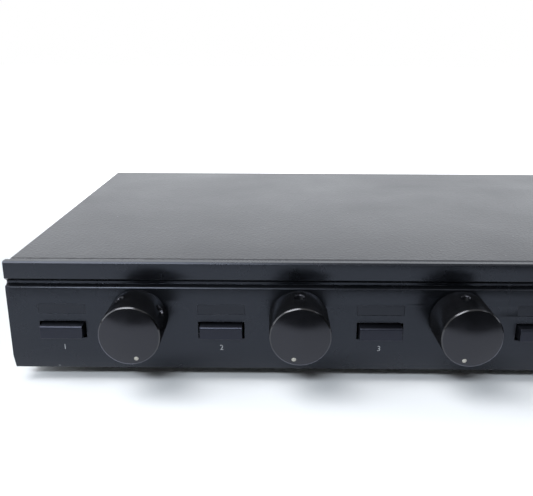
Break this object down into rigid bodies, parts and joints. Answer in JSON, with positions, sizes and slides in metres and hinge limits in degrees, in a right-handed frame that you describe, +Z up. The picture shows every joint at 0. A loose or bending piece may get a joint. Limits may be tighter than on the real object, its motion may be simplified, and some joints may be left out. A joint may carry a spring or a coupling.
{
  "type": "speaker selector switch",
  "caption": "Low black box that sends an amplifier to several rooms of speakers; a push key and a stepped volume knob for each zone sit along a grooved front panel.",
  "frame": {"origin": "on the surface under the feet, in the middle of the overall width and length", "axes": "+X to the right along the fascia, +Y back from the fascia, +Z up"},
  "size_m": [0.445, 0.2494, 0.0604],
  "materials": {
    "black_fascia": "satin black anodised",
    "textured_black_paint": "fine textured black paint",
    "black_paint": "semi-matt black paint",
    "black_knob": "black anodised, diamond-cut rim",
    "key_plastic": "fine matt",
    "label_film": "satin film",
    "zinc_plate": "zinc-plated sheet",
    "black_screw": "blackened",
    "zinc_screw": "zinc plated",
    "black_rubber": "moulded",
    "die_cast_zinc": "as cast",
    "nickel": "nickel plated",
    "phenolic": "phenolic sheet",
    "switch_plastic": "moulded",
    "plunger_plastic": "moulded acetal",
    "spring_steel": "drawn wire",
    "circuit_board": "solder mask",
    "lamination_steel": "varnished laminations",
    "copper_winding": "enamelled wire",
    "terminal_plastic": "moulded"
  },
  "bodies": {
    "case": {"front_panel": "black_fascia", "label_inserts": "label_film", "sub_panel": "zinc_plate", "chassis_tray": "black_paint", "rear_panel": "black_paint", "top_cover": "textured_black_paint", "cover_screws": "black_screw", "chassis_screws": "black_screw", "fascia_screws": "zinc_screw", "foot_screws": "zinc_screw", "board_screws": "zinc_screw", "rubber_feet": "black_rubber", "selector_frames": "die_cast_zinc", "bushing_nuts": "nickel", "selector_wafers": "phenolic", "selector_tie_rods": "zinc_screw", "push_switch_bodies": "switch_plastic", "control_board": "circuit_board", "main_board": "circuit_board", "board_standoffs": "nickel", "transformer_cores": "lamination_steel", "transformer_windings": "copper_winding", "terminal_blocks": "terminal_plastic", "terminal_screws": "nickel", "return_spring_1": "spring_steel", "return_spring_2": "spring_steel", "return_spring_3": "spring_steel", "return_spring_4": "spring_steel", "return_spring_5": "spring_steel", "return_spring_6": "spring_steel"},
    "knob_1": {"knob_1": "black_knob", "knob_set_screws_1": "black_screw", "selector_shaft_1": "nickel"},
    "key_1": {"key_1": "key_plastic", "switch_plunger_1": "plunger_plastic"},
    "knob_2": {"knob_2": "black_knob", "knob_set_screws_2": "black_screw", "selector_shaft_2": "nickel"},
    "key_2": {"key_2": "key_plastic", "switch_plunger_2": "plunger_plastic"},
    "knob_3": {"knob_3": "black_knob", "knob_set_screws_3": "black_screw", "selector_shaft_3": "nickel"},
    "key_3": {"key_3": "key_plastic", "switch_plunger_3": "plunger_plastic"},
    "knob_4": {"knob_4": "black_knob", "knob_set_screws_4": "black_screw", "selector_shaft_4": "nickel"},
    "key_4": {"key_4": "key_plastic", "switch_plunger_4": "plunger_plastic"},
    "knob_5": {"knob_5": "black_knob", "knob_set_screws_5": "black_screw", "selector_shaft_5": "nickel"},
    "key_5": {"key_5": "key_plastic", "switch_plunger_5": "plunger_plastic"},
    "knob_6": {"knob_6": "black_knob", "knob_set_screws_6": "black_screw", "selector_shaft_6": "nickel"},
    "key_6": {"key_6": "key_plastic", "switch_plunger_6": "plunger_plastic"}
  },
  "joints": [
    {"name": "knob_1_turn", "type": "hinge", "parent": "case", "child": "knob_1", "pos_m": [-0.1632, -0.1011, 0.035], "axis": [0, 1, 0], "range_deg": [-330, 0]},
    {"name": "knob_2_turn", "type": "hinge", "parent": "case", "child": "knob_2", "pos_m": [-0.0912, -0.1011, 0.035], "axis": [0, 1, 0], "range_deg": [0, 330]},
    {"name": "knob_3_turn", "type": "hinge", "parent": "case", "child": "knob_3", "pos_m": [-0.0192, -0.1011, 0.035], "axis": [0, 1, 0], "range_deg": [0, 330]},
    {"name": "knob_4_turn", "type": "hinge", "parent": "case", "child": "knob_4", "pos_m": [0.0528, -0.1011, 0.035], "axis": [0, 1, 0], "range_deg": [0, 330]},
    {"name": "knob_5_turn", "type": "hinge", "parent": "case", "child": "knob_5", "pos_m": [0.1248, -0.1011, 0.035], "axis": [0, 1, 0], "range_deg": [0, 330]},
    {"name": "knob_6_turn", "type": "hinge", "parent": "case", "child": "knob_6", "pos_m": [0.1968, -0.1011, 0.035], "axis": [0, 1, 0], "range_deg": [0, 330]},
    {"name": "key_1_press", "type": "slide", "parent": "case", "child": "key_1", "axis": [0, 1, 0], "range_m": [0, 0.003], "stiffness_N_per_m": 300, "springref_m": -0.004, "deforming": ["return_spring_1"]},
    {"name": "key_2_press", "type": "slide", "parent": "case", "child": "key_2", "axis": [0, 1, 0], "range_m": [0, 0.003], "stiffness_N_per_m": 300, "springref_m": -0.004, "deforming": ["return_spring_2"]},
    {"name": "key_3_press", "type": "slide", "parent": "case", "child": "key_3", "axis": [0, 1, 0], "range_m": [0, 0.003], "stiffness_N_per_m": 300, "springref_m": -0.004, "deforming": ["return_spring_3"]},
    {"name": "key_4_press", "type": "slide", "parent": "case", "child": "key_4", "axis": [0, 1, 0], "range_m": [0, 0.003], "stiffness_N_per_m": 300, "springref_m": -0.004, "deforming": ["return_spring_4"]},
    {"name": "key_5_press", "type": "slide", "parent": "case", "child": "key_5", "axis": [0, 1, 0], "range_m": [0, 0.003], "stiffness_N_per_m": 300, "springref_m": -0.004, "deforming": ["return_spring_5"]},
    {"name": "key_6_press", "type": "slide", "parent": "case", "child": "key_6", "axis": [0, 1, 0], "range_m": [0, 0.003], "stiffness_N_per_m": 300, "springref_m": -0.004, "deforming": ["return_spring_6"]}
  ]
}
